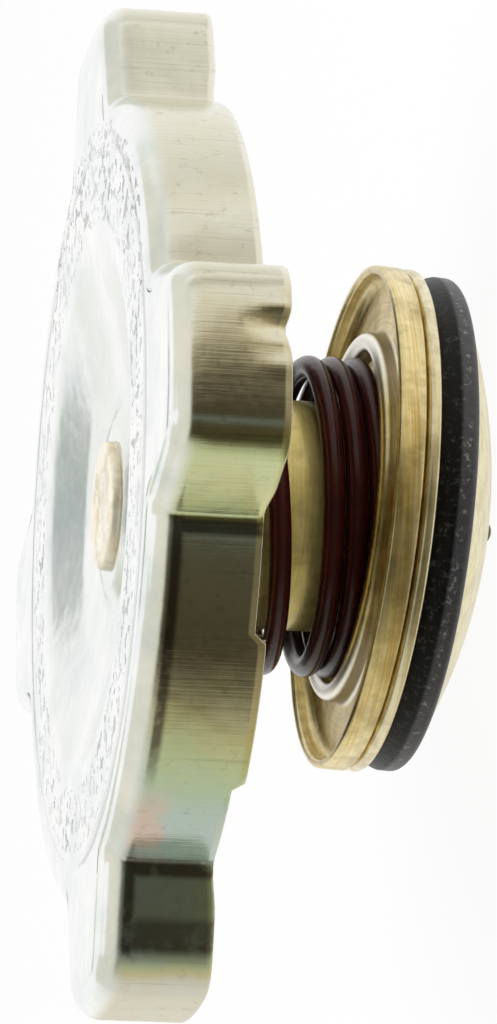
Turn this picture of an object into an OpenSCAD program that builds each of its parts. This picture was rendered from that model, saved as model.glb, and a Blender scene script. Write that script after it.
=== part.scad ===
// Lobed pressure cap for a radiator filler neck, with its pressure valve hanging askew.
// Millimetres. +Z is up through the top face. The origin is on the cap's axis, in the
// plane of the neck gasket's lower face, where the filler neck's rim bears.

/* [Shell] */
// Radius over the tips of the four grip lobes
lobe_r = 39; // [34:0.1:46]
// Radius of the round skirt between the lobes
skirt_r = 31.1; // [28:0.1:34]
// Angle that each lobe is turned from the X and Y axes
lobe_turn = 15.5; // [0:0.5:45]
// Half angle between the centres of a lobe's two rounded corners
lobe_half_angle = 6.3; // [5:0.1:10]
// Angle of a lobe's side wall from the lobe's own centre line
lobe_splay = 17; // [5:0.5:25]
// Radius of a lobe's upright corners
lobe_corner_r = 3.6; // [2:0.1:4]
// Number of lobes
lobe_count = 4; // [3:1:6]
// Thickness of the pressed steel
sheet_t = 1.1; // [0.8:0.05:1.5]
// Outside radius of the bend from top face to skirt
bend_r = 2.2; // [1.6:0.1:3]
// Depth of the skirt below the top face
skirt_h = 8.3; // [7.5:0.1:9]
// Extra depth of the lobes below the skirt
lobe_drop = 0.3; // [0.1:0.1:1.2]
// Radius of the dished middle at the top face
dish_rim_r = 20.5; // [17:0.1:22]
// Radius of the flat floor of the dished middle
dish_floor_r = 9.3; // [7.5:0.1:12]
// Depth of the dished middle
dish_depth = 2.5; // [2:0.1:3]
// Distance of the fine stamped ring from the outside of the skirt
ring_line_in = 3.9; // [3:0.1:6]
// Width of the fine stamped ring
ring_line_w = 0.4; // [0.2:0.05:0.8]
// Depth of the fine stamped ring
ring_line_d = 0.15; // [0.1:0.01:0.3]

/* [Locking lugs] */
// Reach of the two turned-in lugs from the outside of the skirt
lug_reach = 3.7; // [3:0.1:5]
// Half angle that a lug covers
lug_half_angle = 11; // [8:1:15]
// Extra depth of the skirt at a lug
lug_drop = 0.9; // [0.5:0.1:1.2]

/* [Neck seal] */
// Gap round the spring diaphragm and the gasket under it
disc_gap = 0.4; // [0.3:0.05:1]
// Thickness of the spring diaphragm
diaphragm_t = 0.5; // [0.3:0.05:0.6]
// Thickness of the neck gasket
gasket_t = 1.6; // [1.2:0.1:2]
// Room between the neck gasket's bore and the pressure valve
valve_room = 1.15; // [0.8:0.05:3]

/* [Centre rivet] */
// Radius of the rivet's upper head
rivet_head_r = 5.6; // [4.5:0.1:6.5]
// Thickness of the rivet's upper head
rivet_head_t = 0.8; // [0.5:0.05:1.2]
// Radius of the rivet's shank
rivet_r = 2.9; // [2.4:0.1:3.4]
// Radius of the clinched lower head
clinch_r = 4.2; // [3.8:0.1:4.8]
// Thickness of the clinched lower head
clinch_t = 1.0; // [0.7:0.05:1.3]
// Radius of the washer on the clinched head
washer_r = 5.3; // [5:0.1:6]
// Thickness of the washer on the clinched head
washer_t = 0.5; // [0.3:0.05:0.8]

/* [Spring guide] */
// Outside radius of the guide tube
guide_r = 8.8; // [8.2:0.05:9]
// Thickness of the guide's brass
guide_t = 0.6; // [0.5:0.05:0.8]
// Reach of the guide's upper flange past the spring
flange_over = 1.1; // [0.7:0.1:2.2]
// Reach of the flared lip under the valve's hub
lip_catch = 1.9; // [1.3:0.1:2.1]
// Running clearance of the guide on the rivet
swivel_gap = 0.08; // [0.05:0.01:0.1]
// Clearance above and below the guide's top plate
plate_gap = 0.1; // [0.05:0.01:0.2]

/* [Pressure spring] */
// Radius of the wire
wire_r = 0.85; // [0.7:0.01:0.9]
// Gap between the guide tube and the spring
spring_gap = 1.8; // [1.6:0.05:1.95]
// Rise of half a turn where the coils lie closed
closed_rise = 0.88; // [0.88:0.01:0.95]
// Rise of half a turn where the coils are open
open_rise = 2.45; // [2:0.05:2.7]
// Rise of the half turn between closed and open coils
step_rise = 1.85; // [1.2:0.05:2]
// Swell of the wire where two half turns meet
joint_swell = 0.02; // [0.01:0.01:0.02]
// Thickness of the washer under the spring
seat_washer_t = 0.5; // [0.3:0.05:0.7]

/* [Pressure valve] */
// Angle at which the valve hangs askew on its guide
valve_tilt = 3.5; // [0:0.1:4]
// Width of the dish outside its raised bead
shelf_w = 5.15; // [4.4:0.05:5.8]
// Height of the dish's rim above its outer floor
rim_h = 1.6; // [1.2:0.1:2]
// Depth of the dish's outer wall
rim_wall_h = 2.1; // [2.05:0.05:2.6]
// Thickness of the dish's brass
dish_t = 0.7; // [0.5:0.05:0.8]
// Width of the raised bead round the spring
bead_w = 1.45; // [1.2:0.05:1.9]
// Clearance of the bead round the spring
bead_gap = 0.45; // [0.4:0.05:0.6]
// Height of the bead above the dish's outer floor
bead_h = 1.8; // [1.4:0.1:2]
// Drop of the dish's hub below its outer floor
hub_drop = 1.7; // [0.8:0.1:1.9]
// Gap between the hole in the dish and the guide tube
hub_gap = 0.7; // [0.7:0.05:1]
// Thickness of the backing plate above the rubber
backing_t = 1; // [0.8:0.1:1.4]
// Distance of the rubber's edge inside the edge of the dish
seal_in = 0.35; // [0.05:0.05:0.95]
// Thickness of the rubber seal ring
seal_t = 2.95; // [2.6:0.05:4]
// Amount that the rubber narrows toward its backing plate
seal_taper = 0.55; // [0.2:0.05:0.8]
// Rounding of the rubber's lower edge
seal_round = 0.6; // [0.3:0.05:0.9]
// Distance of the domed cover's edge inside the edge of the dish
cover_in = 1.25; // [0.95:0.05:2.3]
// Height of the cover's dome
dome_h = 4.3; // [3.8:0.1:4.6]

/* [Vacuum valve] */
// Radius of the vacuum valve's brass disc
vac_r = 3; // [2.6:0.1:4.6]
// Gap round the disc in its pocket
pocket_gap = 0.3; // [0.3:0.05:0.6]
// Depth of the pocket pressed into the middle of the dome
pocket_d = 1.3; // [1.1:0.05:1.6]
// Radius of the headed end of the stem under the disc
nub_r = 1.15; // [1:0.05:1.4]
// Thickness of the vacuum valve's brass disc
vac_t = 0.7; // [0.5:0.05:1]
// Radius of the vacuum valve's rubber washer
vac_seal_r = 2.7; // [2.3:0.05:3]
// Thickness of the vacuum valve's rubber washer
vac_seal_t = 0.6; // [0.4:0.05:0.8]
// Radius of the air hole in the cover
vac_hole_r = 1.9; // [1.8:0.05:2.1]
// Radius of the vacuum valve's stem
stem_r = 0.9; // [0.75:0.05:1]
// Radius of the vacuum valve's light spring
vac_coil_r = 2.3; // [2.25:0.05:2.6]
// Wire radius of the light spring
vac_wire_r = 0.16; // [0.12:0.01:0.2]
// Radius of the clip on the stem
clip_r = 2.9; // [2.6:0.1:3.4]
// Thickness of the clip on the stem
clip_t = 0.5; // [0.4:0.05:0.7]
// Length of the light spring
vac_spring_l = 2.6; // [2.4:0.1:3]

/* [Quality] */
// Facets of a round shape in the preview
round_n = 96; // [48:8:128]

/* [Hidden] */
$fn = round_n;

full_turn = 360;
half_turn = 180;
quarter_turn = 90;
// Angle at which a lobe's corner arc crosses its neighbours
corner_cross = 12;
over = 1;
mm_gap = 0.05;

steel = [0.80, 0.79, 0.68];
brass = [0.80, 0.68, 0.36];
copper = [0.78, 0.60, 0.44];
rubber = [0.08, 0.08, 0.08];
maroon = [0.27, 0.07, 0.06];

// Depths are counted down from the top face, then turned into heights.
ring_line_r = skirt_r - ring_line_in;
lug_r = skirt_r - lug_reach;
diaphragm_r = skirt_r - sheet_t - disc_gap;

plate_under = dish_depth + sheet_t;
gasket_top = plate_under + diaphragm_t;
face_z = gasket_top + gasket_t;
function zof(depth) = face_z - depth;

rivet_top = dish_depth - rivet_head_t;
guide_top = gasket_top + plate_gap;
guide_under = guide_top + guide_t;
washer_top = guide_under + plate_gap;
clinch_top = washer_top + washer_t;

// Depth of the spring's wire centre after each half turn
rises = [closed_rise, closed_rise, step_rise, open_rise, open_rise, open_rise,
    closed_rise, closed_rise, closed_rise, closed_rise, closed_rise];
function sum_to(v, n) = n <= 0 ? 0 : v[n - 1] + sum_to(v, n - 1);
spring_top = guide_under + wire_r;
spring_end = spring_top + sum_to(rises, len(rises));
washer_seat = spring_end + wire_r;
pivot_depth = washer_seat + seat_washer_t;
coil_r = guide_r + spring_gap + wire_r;
seat_washer_r = coil_r + wire_r;
guide_flange_r = seat_washer_r + flange_over;
hub_hole_r = guide_r + hub_gap;
lip_r = hub_hole_r + lip_catch;

// The valve's own depths, on its tilted axis
tilt_room = seat_washer_r * sin(valve_tilt) + mm_gap;
hub_top = pivot_depth + tilt_room;
hub_under = hub_top + dish_t;
lip_top = hub_under + lip_r * sin(valve_tilt) + mm_gap;
lip_under = lip_top + guide_t;
bead_in_r = seat_washer_r + bead_gap;
bead_r = bead_in_r + bead_w;
valve_r = bead_r + shelf_w;
gasket_in_r = valve_r + valve_room;
seal_r = valve_r - seal_in;
cover_r = valve_r - cover_in;
floor_top = hub_top - hub_drop;
rim_top = floor_top - rim_h;
bead_top = floor_top - bead_h;
wall_under = rim_top + rim_wall_h;
backing_top = floor_top + dish_t;
backing_under = backing_top + backing_t;
seal_under = backing_under + seal_t;
collar_r = bead_r;
collar_in_r = collar_r - dish_t;
seal_in_r = bead_r + mm_gap;

dome_ball_r = (cover_r * cover_r + dome_h * dome_h) / (2 * dome_h);
dome_centre = seal_under + dome_h - dome_ball_r;
pocket_r = vac_r + pocket_gap;
pocket_out_r = pocket_r + dish_t;
pocket_rim = dome_centre + sqrt(dome_ball_r * dome_ball_r - pocket_out_r * pocket_out_r);
pad_depth = seal_under + dome_h - pocket_d;
pad_top = pad_depth - dish_t;
vac_seal_under = pad_depth + vac_seal_t;
vac_under = vac_seal_under + vac_t;
clip_under = pad_top - vac_spring_l;
clip_top = clip_under - clip_t;

lug_angles = [lobe_turn + half_turn / lobe_count,
    lobe_turn + half_turn / lobe_count + half_turn];

// The two cuts of the shell: its outside (inset 0) and its hollow (inset sheet_t).
module disc_cut(r, inset, h) {
    br = bend_r - inset;
    rotate_extrude() {
        translate([0, -h]) square([r - inset, h - inset - br]);
        translate([0, -h]) square([r - inset - br, h - inset]);
        translate([r - inset - br, -inset - br]) circle(r = br);
    }
}

// Everything on one side of a lobe's side wall, with the bend along its top
module flank_cut(side, inset, h) {
    br = bend_r - inset;
    cr = lobe_r - lobe_corner_r;
    reach = lobe_corner_r - inset;
    cx = cr * cos(lobe_half_angle);
    cy = cr * sin(lobe_half_angle);
    back = 2 * lobe_r;
    mirror([0, side < 0 ? 1 : 0, 0])
        translate([cx + reach * sin(lobe_splay), cy + reach * cos(lobe_splay), 0])
            rotate([0, 0, -lobe_splay])
                translate([-back, 0, 0])
                    rotate([90, 0, 90])
                        linear_extrude(back + back) {
                            translate([-back, -h]) square([back, h - inset - br]);
                            translate([-back, -h]) square([back - br, h - inset]);
                            translate([-br, -inset - br]) circle(r = br);
                        }
}

// A lobe's plan: open past its tip and its side walls, closed by an arc at each corner.
// The arc stands a little proud, so that it crosses the tip and the walls cleanly.
module lobe_plan(inset) {
    cr = lobe_r - lobe_corner_r;
    reach = (lobe_corner_r - inset) / cos(corner_cross);
    far = 2 * lobe_corner_r;
    cx = cr * cos(lobe_half_angle);
    cy = cr * sin(lobe_half_angle);
    tip_turn = lobe_half_angle + corner_cross / 2;
    wall_turn = quarter_turn - lobe_splay - corner_cross / 2;
    foot_y = cy + far + lobe_r * tan(lobe_splay);
    wall_x = cx + far * cos(wall_turn);
    wall_y = cy + far * sin(wall_turn);
    tip_x = cx + far * cos(tip_turn);
    tip_y = cy + far * sin(tip_turn);
    polygon([[0, -foot_y], [wall_x, -wall_y], [cx, -cy], [tip_x, -tip_y],
        [tip_x, tip_y], [cx, cy], [wall_x, wall_y], [0, foot_y]]);
    for (side = [-1, 1]) translate([cx, side * cy]) circle(r = reach);
}

module lobe_cut(inset, h) {
    intersection() {
        disc_cut(lobe_r, inset, h);
        flank_cut(1, inset, h);
        flank_cut(-1, inset, h);
        translate([0, 0, -h - over]) linear_extrude(h + 2 * over) lobe_plan(inset);
    }
}

// One turned-in lug, with the deeper piece of skirt that it hangs from
module lug() {
    low = skirt_h + lug_drop;
    intersection() {
        rotate_extrude() {
            translate([lug_r, -low]) square([skirt_r - lug_r, sheet_t]);
            translate([skirt_r - sheet_t, -low]) square([sheet_t, low - bend_r]);
        }
        translate([0, 0, -low - over])
            linear_extrude(low + over)
                polygon([[0, 0],
                    [lobe_r * cos(lug_half_angle), -lobe_r * sin(lug_half_angle)],
                    [lobe_r * cos(lug_half_angle), lobe_r * sin(lug_half_angle)]]);
    }
}

module cap_shell() {
    lobe_h = skirt_h + lobe_drop;
    color(steel) translate([0, 0, face_z]) {
        difference() {
            union() {
                disc_cut(skirt_r, 0, skirt_h);
                for (i = [0 : lobe_count - 1])
                    rotate([0, 0, lobe_turn + i * full_turn / lobe_count]) lobe_cut(0, lobe_h);
            }
            disc_cut(skirt_r, sheet_t, skirt_h + over);
            for (i = [0 : lobe_count - 1])
                rotate([0, 0, lobe_turn + i * full_turn / lobe_count])
                    lobe_cut(sheet_t, lobe_h + over);
            rotate_extrude()
                polygon([[0, over], [dish_rim_r, over], [dish_rim_r, 0],
                    [dish_floor_r, -dish_depth], [0, -dish_depth]]);
            rotate_extrude()
                translate([ring_line_r, -ring_line_d]) square([ring_line_w, over]);
        }
        rotate_extrude()
            polygon([[rivet_r, -dish_depth], [dish_floor_r, -dish_depth], [dish_rim_r, 0],
                [dish_rim_r + bend_r, 0], [dish_rim_r + bend_r, -sheet_t],
                [dish_rim_r, -sheet_t], [dish_floor_r, -plate_under],
                [rivet_r, -plate_under]]);
        for (a = lug_angles) rotate([0, 0, a]) lug();
    }
}

module ring(in_r, out_r, top, under) {
    translate([0, 0, zof(under)]) rotate_extrude()
        translate([in_r, 0]) square([out_r - in_r, under - top]);
}

module centre_rivet() {
    crown = rivet_head_t / 2;
    color(copper) {
        translate([0, 0, zof(rivet_top)]) rotate_extrude() {
            translate([0, -rivet_head_t]) square([rivet_head_r - crown, rivet_head_t]);
            translate([0, -rivet_head_t]) square([rivet_head_r, rivet_head_t - crown]);
            translate([rivet_head_r - crown, -crown]) circle(r = crown);
        }
        ring(0, rivet_r, dish_depth, clinch_top);
        ring(0, clinch_r, clinch_top, clinch_top + clinch_t);
    }
}

module rivet_washer() {
    color(brass) ring(rivet_r, washer_r, washer_top, clinch_top);
}

module diaphragm_disc() {
    color(brass) ring(rivet_r, diaphragm_r, plate_under, gasket_top);
}

module neck_gasket() {
    color(rubber) ring(gasket_in_r, diaphragm_r, gasket_top, face_z);
}

module spring_guide() {
    color(brass) {
        ring(rivet_r + swivel_gap, guide_r, guide_top, guide_under);
        ring(guide_r - guide_t, guide_flange_r, guide_top, guide_under);
        ring(guide_r - guide_t, guide_r, guide_top, lip_under);
        ring(guide_r - guide_t, lip_r, lip_top, lip_under);
    }
}

// One half turn of wire, tipped so that it drops from end to end. Even ones run from +X
// to -X over -Y, and odd ones run back over +Y.
module half_coil(cr, wr, rise, top, odd) {
    tip = atan(rise / (2 * cr));
    translate([0, 0, zof(top + rise / 2)])
        rotate([0, odd == 1 ? tip : -tip, 0])
            rotate([0, 0, odd == 1 ? 0 : half_turn])
                rotate_extrude(angle = half_turn)
                    translate([cr / cos(tip), 0]) circle(r = wr);
}

module pressure_spring() {
    color(maroon) for (i = [0 : len(rises) - 1]) {
        depth = spring_top + sum_to(rises, i);
        half_coil(coil_r, wire_r, rises[i], depth, i % 2);
        if (i > 0)
            translate([i % 2 == 0 ? coil_r : -coil_r, 0, zof(depth)])
                sphere(r = wire_r + joint_swell);
    }
}

module seat_washer() {
    color(brass) ring(hub_hole_r, seat_washer_r, washer_seat, pivot_depth);
}

// The valve's own pieces are drawn square, then hung askew about the spring's end.
module hung() {
    translate([0, 0, zof(pivot_depth)]) rotate([0, valve_tilt, 0])
        translate([0, 0, -zof(pivot_depth)]) children();
}

module valve_dish() {
    color(brass) hung() {
        ring(hub_hole_r, bead_r, hub_top, hub_under);
        ring(bead_in_r, bead_r, bead_top + bead_w / 2, hub_under);
        translate([0, 0, zof(bead_top + bead_w / 2)]) rotate_extrude()
            translate([bead_in_r + bead_w / 2, 0]) circle(r = bead_w / 2);
        ring(bead_in_r, valve_r, floor_top, backing_top);
        ring(valve_r - dish_t, valve_r, rim_top + dish_t / 2, wall_under);
        translate([0, 0, zof(rim_top + dish_t / 2)]) rotate_extrude()
            translate([valve_r - dish_t / 2, 0]) circle(r = dish_t / 2);
    }
}

module backing_plate() {
    lip = dish_t / 2;
    color(brass) hung() {
        ring(bead_r + mm_gap, valve_r - lip, backing_top, backing_under);
        translate([0, 0, zof(backing_under - lip)]) rotate_extrude()
            translate([valve_r - lip, 0]) circle(r = lip);
    }
}

module seal_ring() {
    color(rubber) hung() translate([0, 0, zof(seal_under)]) rotate_extrude() {
        polygon([[seal_in_r, 0], [seal_r - seal_round, 0], [seal_r, seal_round],
            [seal_r, seal_t / 2], [seal_r - seal_taper, seal_t], [seal_in_r, seal_t]]);
        translate([seal_r - seal_round, seal_round]) circle(r = seal_round);
    }
}

module valve_cover() {
    color(brass) hung() {
        ring(collar_in_r, collar_r, hub_under, seal_under);
        translate([0, 0, zof(dome_centre)]) rotate_extrude() intersection() {
            difference() {
                circle(r = dome_ball_r);
                circle(r = dome_ball_r - dish_t);
            }
            translate([pocket_r, -dome_ball_r])
                square([cover_r - pocket_r, dome_ball_r + dome_centre - seal_under]);
        }
        ring(pocket_r, pocket_out_r, pad_top, pocket_rim - mm_gap);
        ring(vac_hole_r, pocket_out_r, pad_top, pad_depth);
        ring(collar_in_r, cover_r, seal_under, seal_under + mm_gap);
    }
}

module vacuum_spring() {
    turns = 6;
    rise = (vac_spring_l - 2 * vac_wire_r) / turns;
    color(steel) hung() for (i = [0 : turns - 1]) {
        half_coil(vac_coil_r, vac_wire_r, rise, clip_under + vac_wire_r + i * rise, i % 2);
    }
}

module vacuum_disc() {
    color(brass) hung() {
        ring(0, vac_r, vac_seal_under, vac_under);
        translate([0, 0, zof(vac_under)]) rotate_extrude() intersection() {
            circle(r = nub_r);
            translate([0, -nub_r]) square([nub_r, nub_r + mm_gap]);
        }
    }
}

module vacuum_seal() {
    color(rubber) hung() ring(stem_r, vac_seal_r, pad_depth, vac_seal_under);
}

module vacuum_stem() {
    color(brass) hung() {
        ring(0, stem_r, clip_top, vac_seal_under);
        translate([0, 0, zof(clip_top)]) sphere(r = stem_r);
    }
}

module vacuum_clip() {
    color(brass) hung() ring(stem_r, clip_r, clip_top, clip_under);
}

cap_shell();
centre_rivet();
rivet_washer();
diaphragm_disc();
neck_gasket();
spring_guide();
pressure_spring();
seat_washer();
valve_dish();
backing_plate();
seal_ring();
valve_cover();
vacuum_spring();
vacuum_disc();
vacuum_seal();
vacuum_stem();
vacuum_clip();
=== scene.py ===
"""Radiator pressure cap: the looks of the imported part, its floor, its light and its camera."""

import bpy
import math

import numpy as np
from mathutils import Matrix, Vector


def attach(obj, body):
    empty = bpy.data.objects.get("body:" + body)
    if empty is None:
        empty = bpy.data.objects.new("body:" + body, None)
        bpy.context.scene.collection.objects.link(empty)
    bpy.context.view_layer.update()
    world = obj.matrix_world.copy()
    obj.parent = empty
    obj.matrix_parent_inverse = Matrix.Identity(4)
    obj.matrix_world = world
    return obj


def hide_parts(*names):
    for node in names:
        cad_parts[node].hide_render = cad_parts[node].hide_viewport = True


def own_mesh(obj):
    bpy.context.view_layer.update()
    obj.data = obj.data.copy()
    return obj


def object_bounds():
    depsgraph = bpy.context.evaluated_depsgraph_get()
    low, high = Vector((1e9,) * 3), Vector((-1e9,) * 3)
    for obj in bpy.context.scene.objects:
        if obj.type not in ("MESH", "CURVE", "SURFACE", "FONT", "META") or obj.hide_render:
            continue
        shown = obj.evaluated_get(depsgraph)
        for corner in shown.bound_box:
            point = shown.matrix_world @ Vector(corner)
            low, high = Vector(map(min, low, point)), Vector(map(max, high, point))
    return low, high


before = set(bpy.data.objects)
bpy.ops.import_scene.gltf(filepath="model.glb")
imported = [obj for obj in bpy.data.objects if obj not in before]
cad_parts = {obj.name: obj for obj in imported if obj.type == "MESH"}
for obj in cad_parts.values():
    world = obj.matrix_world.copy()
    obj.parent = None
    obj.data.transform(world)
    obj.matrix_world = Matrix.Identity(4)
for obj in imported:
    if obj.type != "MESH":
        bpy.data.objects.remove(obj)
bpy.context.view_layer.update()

MM = 0.001

# Sizes in millimetres, as in the part's source. Depths count down from the top face.
FACE_Z = 5.7
LOBE_R, SKIRT_R, CORNER_R = 39.0, 31.1, 3.6
LOBE_TURN, LOBE_HALF, SPLAY = 15.5, 6.3, 17.0
SHEET, BEND = 1.1, 2.2
SKIRT_H, LOBE_DROP, LUG_DROP = 8.3, 0.3, 0.9
DISH_RIM_R, DISH_FLOOR_R, DISH_DEPTH = 20.5, 9.3, 2.5
LUG_R, LUG_HALF = 27.4, 11.0
WIRE_R, COIL_R = 0.85, 11.45
RISES = [0.88, 0.88, 1.85, 2.45, 2.45, 2.45, 0.88, 0.88, 0.88, 0.88, 0.88]
GUIDE_R, GUIDE_T, FLANGE_R, LIP_R = 8.8, 0.6, 13.4, 11.4
GUIDE_TOP = 4.2
VALVE_R, DISH_T = 19.35, 0.7
BEAD_IN, BEAD_OUT = 12.75, 14.2
SEAL_R, SEAL_T, TAPER, SEAL_ROUND = 19.0, 2.95, 0.55, 0.6
COVER_R, DOME_H = 18.1, 4.3
POCKET_R, POCKET_D, AIR_HOLE_R = 3.3, 1.3, 1.9
VAC_COIL_R, VAC_WIRE_R, VAC_SPRING_L, VAC_TURNS = 2.3, 0.16, 2.6, 6
TILT = 3.5

SPRING_TOP = GUIDE_TOP + GUIDE_T + WIRE_R
SPRING_END = SPRING_TOP + sum(RISES)
PIVOT = SPRING_END + WIRE_R + 0.5
HUB_TOP = PIVOT + (COIL_R + WIRE_R) * math.sin(math.radians(TILT)) + 0.05
HUB_UNDER = HUB_TOP + DISH_T
LIP_TOP = HUB_UNDER + LIP_R * math.sin(math.radians(TILT)) + 0.05
LIP_UNDER = LIP_TOP + GUIDE_T
FLOOR_TOP = HUB_TOP - 1.7
RIM_TOP = FLOOR_TOP - 1.6
BEAD_TOP = FLOOR_TOP - 1.8
WALL_UNDER = RIM_TOP + 2.1
BACK_TOP = FLOOR_TOP + DISH_T
BACK_UNDER = BACK_TOP + 1.0
SEAL_UNDER = BACK_UNDER + SEAL_T

HANG = (
    Matrix.Translation((0, 0, (FACE_Z - PIVOT) * MM))
    @ Matrix.Rotation(math.radians(TILT), 4, "Y")
    @ Matrix.Translation((0, 0, -(FACE_Z - PIVOT) * MM))
)


# Meshes


def piece(name, points, faces, body, material, stands_for=(), slot=None, matrix=None):
    """One shown piece from points in millimetres, riding on its body."""
    mesh = bpy.data.meshes.new(name)
    mesh.from_pydata([Vector(p) * MM for p in points], [], faces)
    if matrix is not None:
        mesh.transform(matrix)
    mesh.update()
    for poly in mesh.polygons:
        poly.use_smooth = True
    ob = bpy.data.objects.new(name, mesh)
    bpy.context.scene.collection.objects.link(ob)
    ob.data.materials.append(material)
    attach(ob, body)
    if stands_for:
        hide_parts(*stands_for)
    return ob


def grid_faces(rows, cols, wrap_rows=False, wrap_cols=True, start=0):
    """Quads over a grid of points stored row by row."""
    out = []
    for i in range(rows if wrap_rows else rows - 1):
        for j in range(cols if wrap_cols else cols - 1):
            a, b = i, (i + 1) % rows
            c, d = j, (j + 1) % cols
            out.append(
                (start + a * cols + c, start + b * cols + c, start + b * cols + d, start + a * cols + d)
            )
    return out


def arc(cx, cy, r, a0, a1, n):
    """Points of an arc in a section, from angle a0 to a1 in degrees."""
    return [
        (cx + r * math.cos(math.radians(a0 + (a1 - a0) * i / n)), cy + r * math.sin(math.radians(a0 + (a1 - a0) * i / n)))
        for i in range(n + 1)
    ]


def lathe(section, turns=160, span=(0, 360)):
    """A closed section of (radius, depth) points turned about the axis."""
    a0, a1 = (math.radians(a) for a in span)
    whole = abs(span[1] - span[0]) >= 360
    steps = turns if whole else turns + 1
    points = []
    for r, depth in section:
        for j in range(steps):
            a = a0 + (a1 - a0) * j / turns
            points.append((r * math.cos(a), r * math.sin(a), FACE_Z - depth))
    faces = grid_faces(len(section), steps, wrap_rows=True, wrap_cols=whole)
    if not whole:
        faces.append([i * steps for i in range(len(section))][::-1])
        faces.append([i * steps + steps - 1 for i in range(len(section))])
    return points, faces


def soften(section, r=0.2, steps=3):
    """The section with each corner rounded."""
    out = []
    n = len(section)
    for i in range(n):
        p = Vector(section[i])
        a = Vector(section[i - 1]) - p
        b = Vector(section[(i + 1) % n]) - p
        cut = min(r, a.length * 0.45, b.length * 0.45)
        if cut < 0.02 or abs(a.normalized().dot(b.normalized())) > 0.97:
            out.append(tuple(p))
            continue
        p0, p1 = p + a.normalized() * cut, p + b.normalized() * cut
        for k in range(steps + 1):
            t = k / steps
            out.append(tuple(p0 * (1 - t) ** 2 + p * 2 * t * (1 - t) + p1 * t * t))
    return out


# The shell's outline


def outline():
    """Points round the skirt and its four lobes, with the outward direction at each."""
    pts, nrm = [], []

    def put(x, y, ang, turn):
        a = math.radians(turn)
        pts.append((x * math.cos(a) - y * math.sin(a), x * math.sin(a) + y * math.cos(a)))
        nrm.append((math.cos(ang + a), math.sin(ang + a)))

    beta, top = math.radians(LOBE_HALF), math.radians(90 - SPLAY)
    cr = LOBE_R - CORNER_R
    c = Vector((cr * math.cos(beta), cr * math.sin(beta)))
    n = Vector((math.cos(top), math.sin(top)))
    t = c + n * CORNER_R
    along = Vector((-n.y, n.x))
    fil = 0.7
    base = t + n * fil
    b = base.dot(along)
    s = -b + math.sqrt(b * b - base.length_squared + (SKIRT_R + fil) ** 2)
    s2 = -b - math.sqrt(b * b - base.length_squared + (SKIRT_R + fil) ** 2)
    s = min((v for v in (s, s2) if v > 0), default=s)
    q = base + along * s
    phi = math.atan2(q.y, q.x)
    half = []
    for i in range(1, 9):
        a = beta * i / 8
        half.append((LOBE_R * math.cos(a), LOBE_R * math.sin(a), a))
    for i in range(1, 13):
        a = beta + (top - beta) * i / 12
        half.append((c.x + CORNER_R * math.cos(a), c.y + CORNER_R * math.sin(a), a))
    for i in range(1, 10):
        p = t + along * s * i / 9
        half.append((p.x, p.y, top))
    for i in range(1, 7):
        a = top + (phi - top) * i / 6
        half.append((q.x - fil * math.cos(a), q.y - fil * math.sin(a), a))
    gap = math.radians(45)
    for i in range(1, 21):
        a = phi + (gap - phi) * i / 20
        half.append((SKIRT_R * math.cos(a), SKIRT_R * math.sin(a), a))
    for k in range(4):
        turn = LOBE_TURN + 90 * k
        for x, y, a in reversed(half[:-1]):
            put(x, -y, -a, turn)
        put(LOBE_R, 0, 0, turn)
        for x, y, a in half:
            put(x, y, a, turn)
    return np.array(pts), np.array(nrm)


def smooth(a, b, x):
    t = np.clip((x - a) / (b - a), 0, 1)
    return t * t * (3 - 2 * t)


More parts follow.
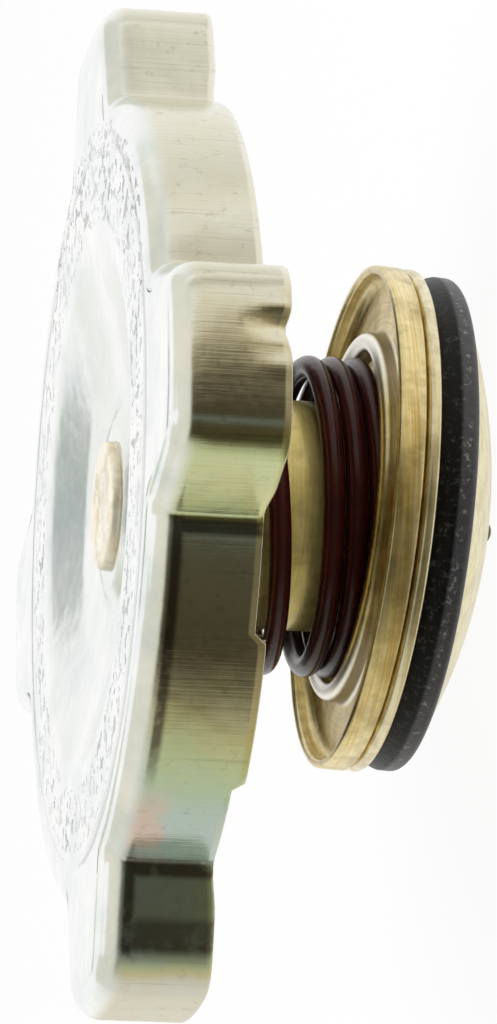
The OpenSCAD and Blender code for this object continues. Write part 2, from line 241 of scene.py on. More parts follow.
def shell():
    """The pressed shell: face, dished middle, bent edge, skirt and its hollow."""
    pts, nrm = outline()
    ang = np.degrees(np.arctan2(pts[:, 1], pts[:, 0]))
    rad = np.hypot(pts[:, 0], pts[:, 1])
    low = SKIRT_H + LOBE_DROP * smooth(SKIRT_R + 0.4, SKIRT_R + 3.2, rad)
    for a in (LOBE_TURN + 45, LOBE_TURN + 225):
        off = np.abs((ang - a + 180) % 360 - 180)
        low = np.maximum(low, SKIRT_H + LUG_DROP * (1 - smooth(LUG_HALF - 0.4, LUG_HALF + 0.6, off)))
    # the bruise on the edge of the lobe that faces the camera
    off = (ang + 72.0 + 180) % 360 - 180
    bruise = np.exp(-((off / 1.6) ** 2))
    ripple = np.exp(-((off / 4.0) ** 2)) * np.sin(off * 1.9)
    low = low - 0.45 * bruise

    rows = []

    def row(inset, depth, dent=0.0):
        p = pts - nrm * (inset + dent * (0.42 * bruise + 0.16 * ripple))[:, None] if dent else pts - nrm * inset
        z = FACE_Z - (depth if np.ndim(depth) else np.full(len(pts), depth))
        rows.append(np.column_stack([p, z]))

    def ring(r, depth, share=1.0, from_row=None):
        a = np.arctan2(pts[:, 1], pts[:, 0])
        p = np.column_stack([r * np.cos(a), r * np.sin(a)])
        rows.append(np.column_stack([p, np.full(len(pts), FACE_Z - depth)]))

    face_in = 28.6
    # the top, from the rivet hole outward
    for r, d in [(2.95, DISH_DEPTH), (5.0, 1.95), (6.4, 1.95), (7.4, 2.4), (8.4, DISH_DEPTH), (9.3, 2.46), (10.2, 2.36)]:
        ring(r, d)
    for r, d in [(11.0, 2.25), (11.9, 2.13), (12.6, 2.02), (13.1, 1.92), (13.5, 1.82), (14.0, 1.69)]:
        ring(r, d)
    for r in (15.0, 16.0, 17.0, 18.0):
        ring(r, 1.69 - (r - 14.0) * 0.268)
    for r, d in [(19.0, 0.36), (19.7, 0.2), (20.4, 0.08), (21.2, 0.01), (21.9, 0.0)]:
        ring(r, d)
    for r in (23.0, 25.0, 27.0):
        ring(r, 0.0)
    for r, d in [(27.2, 0.0), (27.26, 0.05), (27.4, 0.08), (27.54, 0.05), (27.6, 0.0)]:
        ring(r, d)
    ring(face_in, 0.0)
    edge = pts - nrm * BEND
    a = np.arctan2(pts[:, 1], pts[:, 0])
    inner = np.column_stack([face_in * np.cos(a), face_in * np.sin(a)])
    for i in range(1, 6):
        f = i / 6
        p = inner * (1 - f) + edge * f
        rows.append(np.column_stack([p, np.full(len(pts), FACE_Z)]))
    for i in range(9):
        t = math.radians(90 - i * 90 / 8)
        row(BEND * (1 - math.cos(t)), BEND * (1 - math.sin(t)))
    for f in (0.2, 0.4, 0.55, 0.7, 0.8, 0.88, 0.94):
        row(0.0, BEND + (low - 0.3 - BEND) * f, dent=smooth(0.45, 1.0, f))
    row(0.0, low - 0.3, dent=1.0)
    row(0.1, low - 0.09, dent=1.0)
    row(0.3, low, dent=1.0)
    row(SHEET - 0.3, low, dent=1.0)
    row(SHEET - 0.1, low - 0.09, dent=1.0)
    row(SHEET, low - 0.3, dent=1.0)
    for f in (0.88, 0.7, 0.5, 0.25):
        row(SHEET, BEND + (low - 0.3 - BEND) * f, dent=smooth(0.45, 1.0, f))
    for i in range(6):
        t = math.radians(i * 90 / 5)
        b = BEND - SHEET
        row(SHEET + b * (1 - math.cos(t)), SHEET + b * (1 - math.sin(t)))
    edge = pts - nrm * BEND
    for i in range(5, 0, -1):
        f = i / 6
        p = inner * (1 - f) + edge * f
        rows.append(np.column_stack([p, np.full(len(pts), FACE_Z - SHEET)]))
    ring(face_in, SHEET)
    ring(DISH_RIM_R, SHEET)
    ring(DISH_FLOOR_R, DISH_DEPTH + SHEET)
    ring(2.95, DISH_DEPTH + SHEET)
    n = len(pts)
    return np.concatenate(rows).tolist(), grid_faces(len(rows), n, wrap_rows=True)


def lug(a):
    """One turned-in lug, let into the skirt's edge."""
    low = SKIRT_H + LUG_DROP
    section = [(LUG_R, low - SHEET), (SKIRT_R - 0.5, low - SHEET), (SKIRT_R - 0.5, low - 0.02), (LUG_R, low - 0.02)]
    return lathe(soften(section, 0.3), 24, (a - LUG_HALF, a + LUG_HALF))


# The springs


def coil(rises, top, coil_r, wire_r, sides=16, steps=28):
    """A coil spring of half turns with the given rises, from the +X side over the -Y side."""
    depth, samples = 0.0, []
    for i, rise in enumerate(rises):
        for k in range(steps + (i == len(rises) - 1)):
            t = k / steps
            samples.append((-math.pi * (i + t), top + depth + rise * (0.5 * t + 0.25 * (1 - math.cos(math.pi * t)))))
        depth += rise
    points, faces = [], []
    for a, d in samples:
        for k in range(sides):
            w = 2 * math.pi * k / sides
            r = coil_r + wire_r * math.cos(w)
            points.append((r * math.cos(a), r * math.sin(a), FACE_Z - d + wire_r * math.sin(w)))
    faces = grid_faces(len(samples), sides)
    for i, flip in ((0, 1), (len(samples) - 1, -1)):
        faces.append([i * sides + k for k in range(sides)][::flip])
    return points, faces


# Materials


def lin(code, alpha=1.0):
    """A hex sRGB colour as linear values."""
    out = []
    for i in (0, 2, 4):
        v = int(code[i : i + 2], 16) / 255
        out.append(v / 12.92 if v <= 0.04045 else ((v + 0.055) / 1.055) ** 2.4)
    return (*out, alpha)


class Look:
    """A material with its shader, and a short way to add nodes to it."""

    def __init__(self, name):
        self.material = bpy.data.materials.new(name)
        self.material.use_nodes = True
        self.tree = self.material.node_tree
        self.tree.nodes.clear()
        self.shader = self.add("ShaderNodeBsdfPrincipled")
        out = self.add("ShaderNodeOutputMaterial")
        self.tree.links.new(self.shader.outputs[0], out.inputs["Surface"])
        self.place = self.add("ShaderNodeTexCoord").outputs["Object"]
        self.mm = self.math_v("SCALE", self.place, scale=1000.0)

    def add(self, kind, inputs=None, **settings):
        node = self.tree.nodes.new(kind)
        for key, value in settings.items():
            setattr(node, key, value)
        for key, value in (inputs or {}).items():
            self.feed(node, key, value)
        return node

    def feed(self, node, key, value):
        if isinstance(value, bpy.types.NodeSocket):
            self.tree.links.new(value, node.inputs[key])
        else:
            node.inputs[key].default_value = value

    def set(self, **values):
        for key, value in values.items():
            self.feed(self.shader, key.replace("_", " "), value)
        return self

    def math_v(self, operation, a, b=None, scale=None):
        node = self.add("ShaderNodeVectorMath", {0: a}, operation=operation)
        if b is not None:
            self.feed(node, 1, b)
        if scale is not None:
            self.feed(node, "Scale", scale)
        return node.outputs[0]

    def math(self, operation, a, b=0.0, c=0.0, clamp=False):
        return self.add("ShaderNodeMath", {0: a, 1: b, 2: c}, operation=operation, use_clamp=clamp).outputs[0]

    def noise(self, scale, detail=3.0, rough=0.5, at=None, stretch=None, shift=0.0):
        at = self.mm if at is None else at
        if stretch:
            at = self.math_v("MULTIPLY", at, stretch)
        if shift:
            at = self.math_v("ADD", at, (shift, shift * 0.7, -shift))
        return self.add(
            "ShaderNodeTexNoise", {"Vector": at, "Scale": scale, "Detail": detail, "Roughness": rough}
        ).outputs["Fac"]

    def step(self, value, low, high, to_low=0.0, to_high=1.0):
        return self.add(
            "ShaderNodeMapRange",
            {"Value": value, "From Min": low, "From Max": high, "To Min": to_low, "To Max": to_high},
            interpolation_type="SMOOTHSTEP",
        ).outputs[0]

    def band(self, value, low, high, rise, fall):
        up = self.step(value, low - rise, low)
        return self.math("MULTIPLY", up, self.step(value, high, high + fall, 1.0, 0.0))

    def step_linear(self, value, low, high):
        return self.add("ShaderNodeMapRange", {"Value": value, "From Min": low, "From Max": high}).outputs[0]

    def ramp(self, value, stops):
        node = self.add("ShaderNodeValToRGB", {"Fac": value})
        ramp = node.color_ramp
        while len(ramp.elements) > 1:
            ramp.elements.remove(ramp.elements[-1])
        ramp.elements[0].position, ramp.elements[0].color = stops[0][0], lin(stops[0][1])
        for at, code in stops[1:]:
            ramp.elements.new(at).color = lin(code)
        return node.outputs["Color"]

    def mix(self, factor, a, b, kind="MIX"):
        node = self.add("ShaderNodeMix", data_type="RGBA", blend_type=kind)
        for index, value in ((0, factor), (6, a), (7, b)):
            if isinstance(value, bpy.types.NodeSocket):
                self.tree.links.new(value, node.inputs[index])
            else:
                node.inputs[index].default_value = value
        return node.outputs[2]

    def bump(self, height, distance_mm, strength=1.0):
        node = self.add("ShaderNodeBump", {"Height": height, "Distance": distance_mm * MM, "Strength": strength})
        self.feed(self.shader, "Normal", node.outputs[0])
        return node.outputs[0]

    def polar(self):
        """Radius in millimetres, angle in radians and height in millimetres."""
        xyz = self.add("ShaderNodeSeparateXYZ", {0: self.mm})
        x, y, z = xyz.outputs
        r = self.math("SQRT", self.math("ADD", self.math("MULTIPLY", x, x), self.math("MULTIPLY", y, y)))
        return r, self.math("ARCTAN2", y, x), z


def plated_steel():
    """Pressed steel under zinc and a clear yellow chromate: pale, with oil-film colours on the skirt."""
    m = Look("zinc and chromate plated pressed steel")
    r, angle, z = m.polar()
    outer = m.step(r, 27.8, 30.0)
    skirt = m.math("MULTIPLY", outer, m.step(z, FACE_Z - 2.2, FACE_Z - 0.9, 1.0, 0.0))
    # the chromate's film thickens round one side, from straw through green to a grey blue
    turn = m.math("MULTIPLY", m.math("ADD", angle, math.radians(90)), -180 / math.pi)
    drift = m.math("MULTIPLY", m.math("SUBTRACT", m.noise(0.11, 3.0, 0.6, shift=17.0), 0.5), 0.6)
    rise = m.math("MULTIPLY", m.step(turn, 8.0, 58.0, 0.0, 0.86), m.step(turn, 62.0, 66.0, 1.0, 0.0))
    flank = m.math("MULTIPLY", m.step(turn, -9.0, -6.0), m.step(turn, 1.5, 4.0, 0.46, 0.0))
    film = m.math("ADD", m.math("ADD", m.math("MAXIMUM", rise, flank), drift), 0.02)
    film = m.ramp(
        film,
        [(0.0, "ECEADC"), (0.16, "E9E4CE"), (0.34, "E2DBAC"), (0.5, "D4DCAE"), (0.66, "C8D8BE"), (0.82, "C6D6D0"), (0.94, "D8D0CE")],
    )
    # and a rosy patch where it is thickest, high on the skirt
    patch = m.math("MULTIPLY", m.step(turn, 40.0, 47.0), m.step(turn, 53.0, 55.0, 1.0, 0.0))
    patch = m.math("MULTIPLY", patch, m.step(m.math("ADD", z, m.math("MULTIPLY", m.noise(0.3, 3.0), 4.0)), 3.2, 4.6))
    film = m.mix(m.math("MULTIPLY", patch, 0.8), film, lin("E8CBBC"))
    pale = m.ramp(m.noise(0.16, 4.0, 0.6), [(0.36, "E4E9E8"), (0.52, "F2F4F2"), (0.7, "FBFBF9")])
    # painted shade: a patchy grey-green tint lies over the dished middle
    recess_shade = m.step(m.noise(0.12, 3.0, shift=41.0), 0.35, 0.65, 0.0, 0.6)
    pale = m.mix(m.math("MULTIPLY", m.step(r, 19.5, 20.6, 1.0, 0.0), recess_shade), pale, lin("E2E5DB"))
    colour = m.mix(skirt, pale, film)
    # fine lines that the drawing die left down the skirt
    lines = m.noise(1.0, 4.0, 0.7, stretch=(3.4, 3.4, 0.05))
    dark_lines = m.step(lines, 0.30, 0.42, 0.8, 1.0)
    colour = m.mix(m.math("MULTIPLY", skirt, m.math("SUBTRACT", 1.0, dark_lines)), colour, lin("5E5644"))
    # the band of worn stamped marks round the dished middle, in places only a trace
    across = m.add(
        "ShaderNodeCombineXYZ", {0: m.math("MULTIPLY", angle, 19.0), 1: m.math("MULTIPLY", r, 0.8)}
    ).outputs[0]
    strokes = m.noise(1.0, 2.0, 0.7, at=across)
    outer_edge = m.math("ADD", 26.6, m.math("MULTIPLY", m.step(m.math("COSINE", angle), 0.5, 0.7), 2.9))
    inside = m.step(m.math("SUBTRACT", outer_edge, r), 0.0, 0.4)
    band = m.math("MULTIPLY", m.step(r, 21.4, 21.9), inside)
    top = m.step(z, FACE_Z - 0.3, FACE_Z - 0.1)
    marks = m.math("MULTIPLY", m.math("MULTIPLY", band, top), m.step(strokes, 0.54, 0.60))
    trace = m.step(m.noise(0.16, 2.0, shift=61.0), 0.40, 0.62, 0.22, 0.8)
    colour = m.mix(m.math("MULTIPLY", marks, trace), colour, lin("5C6468"))
    # soiling that gathers in the bends, along the open edge and in scratches
    soil = m.step(m.noise(0.9, 6.0, 0.65, shift=5.0), 0.56, 0.76)
    colour = m.mix(m.math("MULTIPLY", m.math("MULTIPLY", soil, 0.3), m.math("ADD", m.math("MULTIPLY", skirt, 0.8), 0.2)), colour, lin("6E6650"))
    # painted shade: a dark patchy tone in the corners beside the lobes and along the bend above them
    bays = m.math("MAXIMUM", m.band(turn, 2.6, 34.0, 1.0, 9.0), m.band(turn, 56.5, 62.8, 0.5, 0.6))
    bend = m.math("MULTIPLY", m.band(z, FACE_Z - 2.25, FACE_Z - 1.9, 0.5, 0.3), bays)
    corner = m.math("MAXIMUM", m.band(turn, 2.7, 4.0, 0.4, 0.8), m.band(turn, 56.6, 57.9, 0.4, 0.6))
    corner = m.math("MAXIMUM", corner, m.math("MULTIPLY", m.band(turn, 61.4, 62.6, 0.8, 0.6), 0.8))
    corner = m.math("MULTIPLY", corner, m.step(z, FACE_Z - 2.2, FACE_Z - 1.8, 1.0, 0.0))
    patchy = m.step(m.noise(0.5, 4.0, 0.6, shift=13.0), 0.3, 0.5, 0.45, 0.85)
    corner_shade = m.math("MULTIPLY", m.math("MULTIPLY", m.math("MAXIMUM", bend, corner), patchy), outer)
    colour = m.mix(corner_shade, colour, lin("5A5044"))
    rough = m.math("ADD", 0.1, m.math("MULTIPLY", m.noise(1.7, 4.0), 0.12))
    # the lower lobe's corner is rubbed matt
    rub_wear_and_highlight = m.math("MULTIPLY", skirt, m.step(turn, 62.6, 64.6))
    rough = m.math("ADD", rough, m.math("MULTIPLY", rub_wear_and_highlight, 0.2))
    matt = m.math("MULTIPLY", m.math("MULTIPLY", skirt, m.band(turn, 64.2, 66.6, 1.6, 1.5)), 0.55)
    # the film is duller where it is thickest
    rough = m.math("ADD", rough, m.math("MULTIPLY", skirt, m.step(turn, 52.0, 56.0, 0.0, 0.14)))
    height = m.math("SUBTRACT", m.math("MULTIPLY", m.math("MULTIPLY", lines, skirt), 0.4), m.math("MULTIPLY", marks, 1.5))
    dents = m.math("MULTIPLY", m.noise(0.25, 2.0, 0.5, shift=31.0), 2.0)
    m.bump(m.math("ADD", height, dents), 0.06, 0.6)
    m.set(Base_Color=colour, Metallic=m.math("SUBTRACT", 1.0, matt), Roughness=rough)
    return m.material


def brass(name, low, high, rough=0.24, lines=1.0, tarnish=0.2, vary=0.14, bead=False, metal=1.0):
    """Spun or pressed brass with fine lines round it and a little brown tarnish."""
    m = Look(name)
    r, angle, z = m.polar()
    spun = m.noise(
        1.0, 3.0, 0.6,
        at=m.add("ShaderNodeCombineXYZ", {0: m.math("MULTIPLY", angle, 2.2), 1: m.math("MULTIPLY", r, 5.0), 2: m.math("MULTIPLY", z, 5.0)}).outputs[0],
    )
    colour = m.ramp(spun, [(0.35, low), (0.62, high)])
    # a soft mottle where it was handled, and brown tarnish in patches
    mottle = m.noise(0.55, 4.0, 0.6, shift=23.0)
    colour = m.mix(m.step(mottle, 0.44, 0.64, 0.0, 0.3), colour, lin("9A8444"))
    stain = m.step(m.noise(0.22, 5.0, 0.6, shift=9.0), 0.46, 0.68)
    colour = m.mix(m.math("MULTIPLY", stain, tarnish), colour, lin("6E5A2C"))
    if bead:
        # painted highlight: the raised bead is painted pale and bright on its +X and -X sides
        rub_wear_and_highlight = m.math("MULTIPLY", m.step(r, BEAD_IN - 0.3, BEAD_IN), m.step(r, BEAD_OUT, BEAD_OUT + 0.3, 1.0, 0.0))
        side = m.step(m.math("ABSOLUTE", m.add("ShaderNodeSeparateXYZ", {0: m.mm}).outputs[0]), 7.5, 12.0)
        colour = m.mix(m.math("MULTIPLY", rub_wear_and_highlight, side), colour, lin("FFFBF0"))
    m.bump(m.math("ADD", spun, mottle), 0.02, 0.5 * lines)
    m.set(Base_Color=colour, Metallic=metal, Roughness=m.math("ADD", rough, m.math("MULTIPLY", spun, vary)))
    return m.material


def black_rubber():
    """Moulded black rubber with a dusting of pale specks toward its lower edge; its half next to the backing plate is
    painted near-black as shade.
    """
    m = Look("moulded black nitrile rubber")
    r, angle, z = m.polar()
    x = m.add("ShaderNodeSeparateXYZ", {0: m.mm}).outputs[0]
    along = m.math("ADD", z, m.math("MULTIPLY", x, math.sin(math.radians(TILT))))
    middle = FACE_Z - BACK_UNDER - SEAL_T / 2 - 0.2
    grain = m.noise(2.2, 6.0, 0.7)
    speck = m.step(m.noise(1.6, 4.0, 0.8, shift=3.0), 0.54, 0.62)
    dusty = m.step(m.math("ABSOLUTE", m.math("SUBTRACT", along, middle - 0.3)), 0.1, 0.45, 0.9, 0.12)
    # painted shade: the half next to the backing plate is near-black, the other half grey
    backing_side_shade = m.step(along, middle - 0.1, middle + 0.25)
    black = m.mix(grain, lin("020202"), lin("0A0908"))
    grey = m.mix(grain, lin("2C2A2C"), lin("4E4E54"))
    colour = m.mix(m.math("MULTIPLY", speck, dusty), m.mix(backing_side_shade, grey, black), lin("8A8A86"))
    m.bump(grain, 0.05, 0.7)
    m.set(Base_Color=colour, Roughness=0.42, Specular_IOR_Level=m.math("SUBTRACT", 0.5, m.math("MULTIPLY", backing_side_shade, 0.3)))
    return m.material


def lacquer():
    """Spring wire under a dark red-brown lacquer, glossy and slightly uneven."""
    m = Look("dark red lacquered spring wire")
    wave = m.noise(0.5, 3.0)
    colour = m.mix(wave, lin("200808"), lin("4A1616"))
    m.bump(m.noise(1.4, 2.0), 0.04, 0.5)
    m.set(Base_Color=colour, Roughness=0.25, Specular_IOR_Level=0.35)
    return m.material


STEEL = plated_steel()
BRASS_GUIDE = brass("drawn brass of the guide tube", "E6CE74", "F6E49A", 0.22, 0.1, 0.0, 0.05, metal=0.4)
BRASS_DISH = brass("pressed brass of the valve dish", "E6CB86", "FCEFC2", 0.26, 0.5, 0.3, bead=True)
BRASS_PLATE = brass("pale rolled brass edge", "ECE0B8", "FBF3D8", 0.26, 0.5, 0.08)
BRASS_DOME = brass("bright pressed brass of the cover", "E0D08C", "F4EAC0", 0.2, 0.5, 0.08)
BRASS_NUB = brass("tarnished brass of the stem's head", "4C4632", "7C7252", 0.35, 0.5, 0.5)
COPPER = brass("copper-washed rivet", "FBEBD2", "FFFDF4", 0.34, 0.15, 0.0, metal=0.7)
WIRE = brass("plain steel spring wire", "A8A8A4", "D2D2CE", 0.2, 0.2, 0.0)
RUBBER = black_rubber()
LACQUER = lacquer()


# Pieces

piece("cap_shell_pressed", *shell(), "cap", STEEL, ["cap_shell"], "plated_steel")
for side, a in (("a", LOBE_TURN + 45), ("b", LOBE_TURN + 225)):
    piece("locking_lug_" + side, *lug(a), "cap", STEEL, slot="plated_steel")

rivet = [(0.01, 1.15), (4.2, 1.15)] + arc(4.5, 1.55, 0.4, -90, 0, 5) + [(5.0, 2.5), (2.9, 2.5), (2.9, 5.75), (4.2, 5.75), (4.2, 6.6), (3.8, 6.75), (0.01, 6.75)]
rivet = [(r, min(d, 6.6)) for r, d in rivet]
piece("rivet_headed", *lathe(rivet, 96), "cap", COPPER, ["centre_rivet"], "rivet_copper")

guide = soften(
    [
        (2.98, GUIDE_TOP), (FLANGE_R, GUIDE_TOP), (FLANGE_R, GUIDE_TOP + GUIDE_T), (GUIDE_R, GUIDE_TOP + GUIDE_T),
        (GUIDE_R, LIP_TOP), (LIP_R, LIP_TOP), (LIP_R, LIP_UNDER), (GUIDE_R - GUIDE_T, LIP_UNDER),
        (GUIDE_R - GUIDE_T, GUIDE_TOP + GUIDE_T), (2.98, GUIDE_TOP + GUIDE_T),
    ],
    0.25,
)
piece("guide_tube_drawn", *lathe(guide), "guide", BRASS_GUIDE, ["spring_guide"], "brass")

spring = piece(
    "spring_wound", *coil(RISES, SPRING_TOP, COIL_R, WIRE_R), "guide", LACQUER, ["pressure_spring"], "lacquered_wire"
)
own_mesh(spring)

crown = (BEAD_OUT - BEAD_IN) / 2
dish = (
    [(9.5, HUB_UNDER - 0.1), (9.5, HUB_TOP + 0.1), (9.6, HUB_TOP), (BEAD_IN - 0.3, HUB_TOP), (BEAD_IN, HUB_TOP - 0.3)]
    + arc(BEAD_IN + crown, BEAD_TOP + crown, crown, 180, 360, 12)
    + [(BEAD_OUT, FLOOR_TOP - 0.4), (BEAD_OUT + 0.12, FLOOR_TOP - 0.12), (BEAD_OUT + 0.4, FLOOR_TOP)]
    + [(VALVE_R - DISH_T - 0.7, FLOOR_TOP), (VALVE_R - DISH_T - 0.2, FLOOR_TOP - 0.2), (VALVE_R - DISH_T, FLOOR_TOP - 0.7)]
    + arc(VALVE_R - DISH_T / 2, RIM_TOP + DISH_T / 2, DISH_T / 2, 180, 360, 8)
    + [(VALVE_R, WALL_UNDER - 0.15), (VALVE_R - 0.15, WALL_UNDER), (VALVE_R - DISH_T, WALL_UNDER)]
    + [(VALVE_R - DISH_T - 0.1, BACK_TOP - 0.005), (BEAD_IN + 0.6, BACK_TOP - 0.005), (BEAD_IN + 0.6, HUB_UNDER), (9.6, HUB_UNDER)]
)
piece("valve_dish_pressed", *lathe(dish), "valve", BRASS_DISH, ["valve_dish"], "brass", HANG)

plate = soften([(BEAD_OUT + 0.1, BACK_TOP), (VALVE_R - 0.05, BACK_TOP), (VALVE_R, BACK_UNDER), (BEAD_OUT + 0.1, BACK_UNDER)], 0.45, 4)
piece("backing_plate_rolled", *lathe(plate), "valve", BRASS_PLATE, ["backing_plate"], "brass", HANG)

seal_in = BEAD_OUT + 0.05
seal = (
    [(seal_in, BACK_UNDER), (SEAL_R - TAPER - 0.2, BACK_UNDER), (SEAL_R - TAPER, BACK_UNDER + 0.2)]
    + [(SEAL_R - 0.08, BACK_UNDER + SEAL_T / 2 - 0.15), (SEAL_R, BACK_UNDER + SEAL_T / 2 + 0.1)]
    + arc(SEAL_R - SEAL_ROUND, SEAL_UNDER - SEAL_ROUND, SEAL_ROUND, 0, 90, 6)
    + [(seal_in, SEAL_UNDER)]
)
piece("seal_ring_moulded", *lathe(seal, 200), "valve", RUBBER, ["seal_ring"], "rubber", HANG)

ball = (COVER_R**2 + DOME_H**2) / (2 * DOME_H)
mid = SEAL_UNDER + DOME_H - ball
pad = SEAL_UNDER + DOME_H - POCKET_D
pad_top = pad - DISH_T
collar_in = BEAD_OUT - DISH_T


def dome(r, size=ball):
    """Depth of the dome's skin at a radius."""
    return mid + math.sqrt(size**2 - r * r)


cover = (
    [(AIR_HOLE_R, pad), (POCKET_R - 0.2, pad), (POCKET_R, pad + 0.2), (POCKET_R, dome(POCKET_R) - 0.3)]
    + [(POCKET_R + 0.1, dome(POCKET_R) - 0.1), (POCKET_R + 0.35, dome(POCKET_R + 0.35))]
    + [(r, dome(r)) for r in np.linspace(POCKET_R + 0.7, COVER_R - 0.15, 20)]
    + [(COVER_R, SEAL_UNDER + 0.05), (COVER_R - 0.1, SEAL_UNDER), (BEAD_OUT, SEAL_UNDER)]
    + [(BEAD_OUT, HUB_UNDER), (collar_in, HUB_UNDER)]
    + [(r, dome(r, ball - DISH_T)) for r in np.linspace(collar_in, POCKET_R + DISH_T, 10)]
    + [(POCKET_R + DISH_T, pad_top), (AIR_HOLE_R, pad_top)]
)
piece("cover_domed", *lathe(cover), "valve", BRASS_DOME, ["valve_cover"], "brass", HANG)

rise = (VAC_SPRING_L - 2 * VAC_WIRE_R) / VAC_TURNS
vacuum = coil([rise] * VAC_TURNS, pad_top - VAC_SPRING_L + VAC_WIRE_R, VAC_COIL_R, VAC_WIRE_R, 8, 16)
vacuum = piece("vacuum_spring_wound", *vacuum, "valve", WIRE, ["vacuum_spring"], "spring_wire", HANG)
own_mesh(vacuum)

for name, material in {
    "rivet_washer": BRASS_GUIDE, "diaphragm_disc": BRASS_GUIDE, "neck_gasket": RUBBER, "seat_washer": BRASS_DISH,
    "vacuum_disc": BRASS_NUB, "vacuum_seal": RUBBER, "vacuum_stem": BRASS_DOME, "vacuum_clip": BRASS_DOME,
}.items():
    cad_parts[name].data.materials.clear()
    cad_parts[name].data.materials.append(material)


# Floor, light and camera


def flat_look(name, colour, lift):
    """A plain surface that looks white to the camera and keeps a faint shadow."""
    m = Look(name)
    m.set(Base_Color=colour, Roughness=0.9)
    light = m.add("ShaderNodeEmission", {"Color": (1, 1, 1, 1), "Strength": 1.0})
    path = m.add("ShaderNodeLightPath").outputs
    seen = m.math("MAXIMUM", m.math("MAXIMUM", path["Is Camera Ray"], path["Is Glossy Ray"]), path["Is Transmission Ray"])
    mix = m.add("ShaderNodeMixShader", {0: m.math("MULTIPLY", seen, lift), 1: m.shader.outputs[0], 2: light.outputs[0]})
    out = next(n for n in m.tree.nodes if n.type == "OUTPUT_MATERIAL")
    m.tree.links.new(mix.outputs[0], out.inputs["Surface"])
    return m.material


def sheet(name, centre, half, facing, material):
    """A flat square of stage, centred at a point and facing a direction."""
    n = Vector(facing).normalized()
    u = Vector((1, 0, 0))
    v = n.cross(u)
    c = Vector(centre)
    mesh = bpy.data.meshes.new(name)
    mesh.from_pydata([c + u * sx * half[0] + v * sy * half[1] for sx, sy in ((-1, -1), (1, -1), (1, 1), (-1, 1))], [], [(0, 1, 2, 3)])
    ob = bpy.data.objects.new(name, mesh)
    bpy.context.scene.collection.objects.link(ob)
    ob.data.materials.append(material)
    return ob


lo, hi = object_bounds()
# the floor leaves the vacuum disc room to open
sheet("floor", (0, 0, lo.z - 0.0016), (4, 4), (0, 0, 1), flat_look("pale floor", lin("F4F4F2"), 0.93))

# A graduated card curves round the front of the part: it lies on the floor and stands up
# behind the camera. Only reflections show it, dark ahead and paler toward its sides.
FAR_TONES = [
    (-150, "FCFCF8"), (-115, "E8E6DC"), (-90, "DEDED6"), (-75, "D6D8CE"), (-61, "C4C4B6"), (-50, "807C6C"),
    (-40, "3E3A2C"), (-20, "4A4636"), (-9, "4C4A3C"), (-5, "626C66"), (0, "626C66"), (5, "4A4838"), (18, "403A2A"), (26, "5A5240"), (32, "A69C7E"),
    (38, "D8D0BA"), (46, "F2F1E8"), (62, "CAC8BC"), (70, "CCCABE"), (82, "F6F5EE"), (95, "E0E0D8"), (115, "F0F0E8"), (150, "FFFFFF"),
]
NEAR_TONES = [
    (-150, "FFFFFF"), (-90, "ECE8DC"), (-60, "C4BCA0"), (-45, "A89E80"), (-30, "786E52"), (-10, "706850"),
    (5, "82785A"), (20, "9A9072"), (30, "DCD2B2"), (42, "F2ECDC"), (70, "F6F4EC"), (100, "FFFFFF"),
]
CARD_NEAR, CARD_FAR, CARD_RISE = 0.024, 0.55, 0.8


def tone_look():
    """Even light from the card, its tone set by the angle round the part and by the height."""
    m = Look("graduated card")
    xyz = m.add("ShaderNodeSeparateXYZ", {0: m.place}).outputs
    round_part = m.math("DEGREES", m.math("ARCTAN2", xyz[0], m.math("MULTIPLY", xyz[1], -1.0)))
    share = m.step_linear(round_part, -180.0, 180.0)
    far = m.ramp(share, [((a + 180) / 360, c) for a, c in FAR_TONES])
    near = m.ramp(share, [((a + 180) / 360, c) for a, c in NEAR_TONES])
    away = m.add("ShaderNodeVectorMath", {0: m.place}, operation="LENGTH").outputs["Value"]
    tone = m.mix(m.step(away, 0.09, 0.14), near, far)
    tone = m.mix(m.step(xyz[2], 0.26, 0.44), tone, lin("E2E0D2"))
    light = m.add("ShaderNodeEmission", {"Color": tone, "Strength": 1.0})
    out = next(n for n in m.tree.nodes if n.type == "OUTPUT_MATERIAL")
    m.tree.links.new(light.outputs[0], out.inputs["Surface"])
    return m.material


card_mesh = bpy.data.meshes.new("graduated_card")
level = lo.z + 0.0001
rows = [(CARD_NEAR, level), (CARD_FAR, level), (CARD_FAR + 0.05, level + 0.05), (CARD_FAR + 0.05, CARD_RISE)]
rows += [(CARD_FAR - 0.35, CARD_RISE + 0.2)]
angles = [math.radians(a) for a in range(-150, 151, 5)]
card_points = [(r * math.sin(a), -r * math.cos(a), z) for r, z in rows for a in angles]
card_mesh.from_pydata(card_points, [], grid_faces(len(rows), len(angles), wrap_cols=False))
card = bpy.data.objects.new("graduated_card", card_mesh)
bpy.context.scene.collection.objects.link(card)
card_mesh.materials.append(tone_look())
card.visible_camera = False
card.visible_diffuse = False
card.visible_shadow = False

# Grey cards hang high behind the part, where the dished middle's far slope looks.
for name, centre, half, code in (
    ("slope_card", (0.026, 0.5, 0.41), (0.062, 0.075), "B4BAB8"),
    ("veil_card", (-0.1, 0.56, 0.27), (0.045, 0.08), "D2D6C8"),
):
    grey = Look("even grey card, " + name)
    grey.set(Base_Color=lin("000000"), Roughness=0.9, Emission_Color=lin(code), Emission_Strength=1.0)
    hung = sheet(name, centre, half, (0, -1.0, -0.6), grey.material)
    hung.visible_camera = False
    hung.visible_diffuse = False
    hung.visible_shadow = False

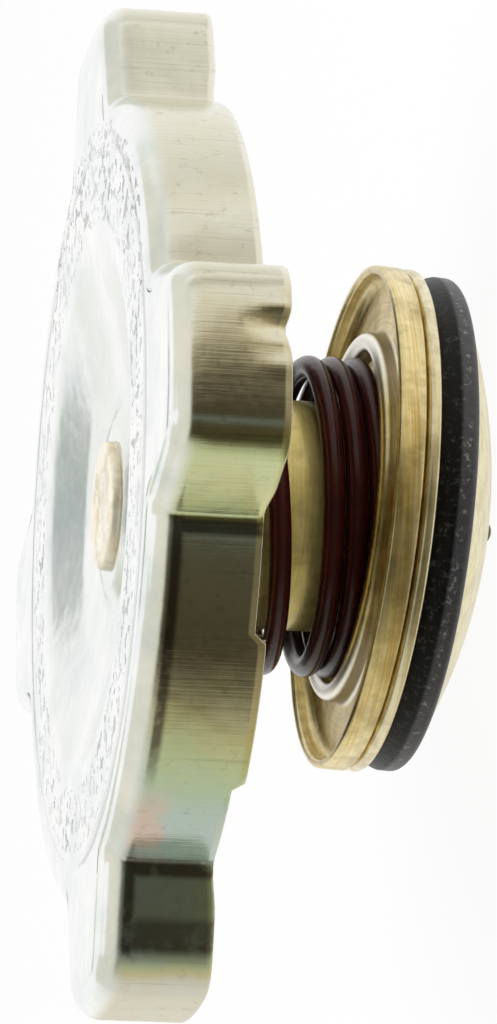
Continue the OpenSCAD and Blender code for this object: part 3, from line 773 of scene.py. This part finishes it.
bpy.context.scene.view_settings.view_transform = "Standard"

world = bpy.data.worlds.new("studio")
bpy.context.scene.world = world
world.use_nodes = True
tree = world.node_tree
back = tree.nodes["Background"]
path = tree.nodes.new("ShaderNodeLightPath")
seen = tree.nodes.new("ShaderNodeMath")
seen.operation = "MAXIMUM"
tree.links.new(path.outputs["Is Camera Ray"], seen.inputs[0])
more = tree.nodes.new("ShaderNodeMath")
more.operation = "MAXIMUM"
tree.links.new(path.outputs["Is Glossy Ray"], more.inputs[0])
tree.links.new(path.outputs["Is Transmission Ray"], more.inputs[1])
tree.links.new(more.outputs[0], seen.inputs[1])
level = tree.nodes.new("ShaderNodeMapRange")
level.inputs["To Min"].default_value = 0.45
level.inputs["To Max"].default_value = 1.0
tree.links.new(seen.outputs[0], level.inputs["Value"])
tree.links.new(level.outputs[0], back.inputs["Strength"])
back.inputs["Color"].default_value = (1, 1, 1, 1)


def lamp(name, at, size, watts, mirrored=True):
    """A soft square lamp aimed at the part."""
    data = bpy.data.lights.new(name, "AREA")
    data.size, data.energy = size, watts
    ob = bpy.data.objects.new(name, data)
    bpy.context.scene.collection.objects.link(ob)
    ob.location = at
    ob.rotation_mode = "QUATERNION"
    ob.rotation_quaternion = (-Vector(at)).to_track_quat("-Z", "Y")
    ob.visible_glossy = mirrored


lamp("lamp_top", (0.15, -0.1, 0.6), 0.5, 3.0, mirrored=False)
lamp("lamp_side", (0.5, -0.26, 0.06), 0.12, 0.5, mirrored=False)

camera = bpy.data.cameras.new("camera")
camera.lens = 195.77
eye = bpy.data.objects.new("camera", camera)
bpy.context.scene.collection.objects.link(eye)
bpy.context.scene.camera = eye
right, down, ahead = Vector((0.0473, -0.1750, -0.9834)), Vector((-0.9986, 0.0156, -0.0508)), Vector((0.0243, 0.9844, -0.1740))
turn = Matrix((right, -down, -ahead)).transposed()
eye.matrix_world = Matrix.Translation(Vector((-10.13, -418.02, 67.02)) * MM) @ turn.to_4x4()
camera.clip_start, camera.clip_end = 0.01, 20
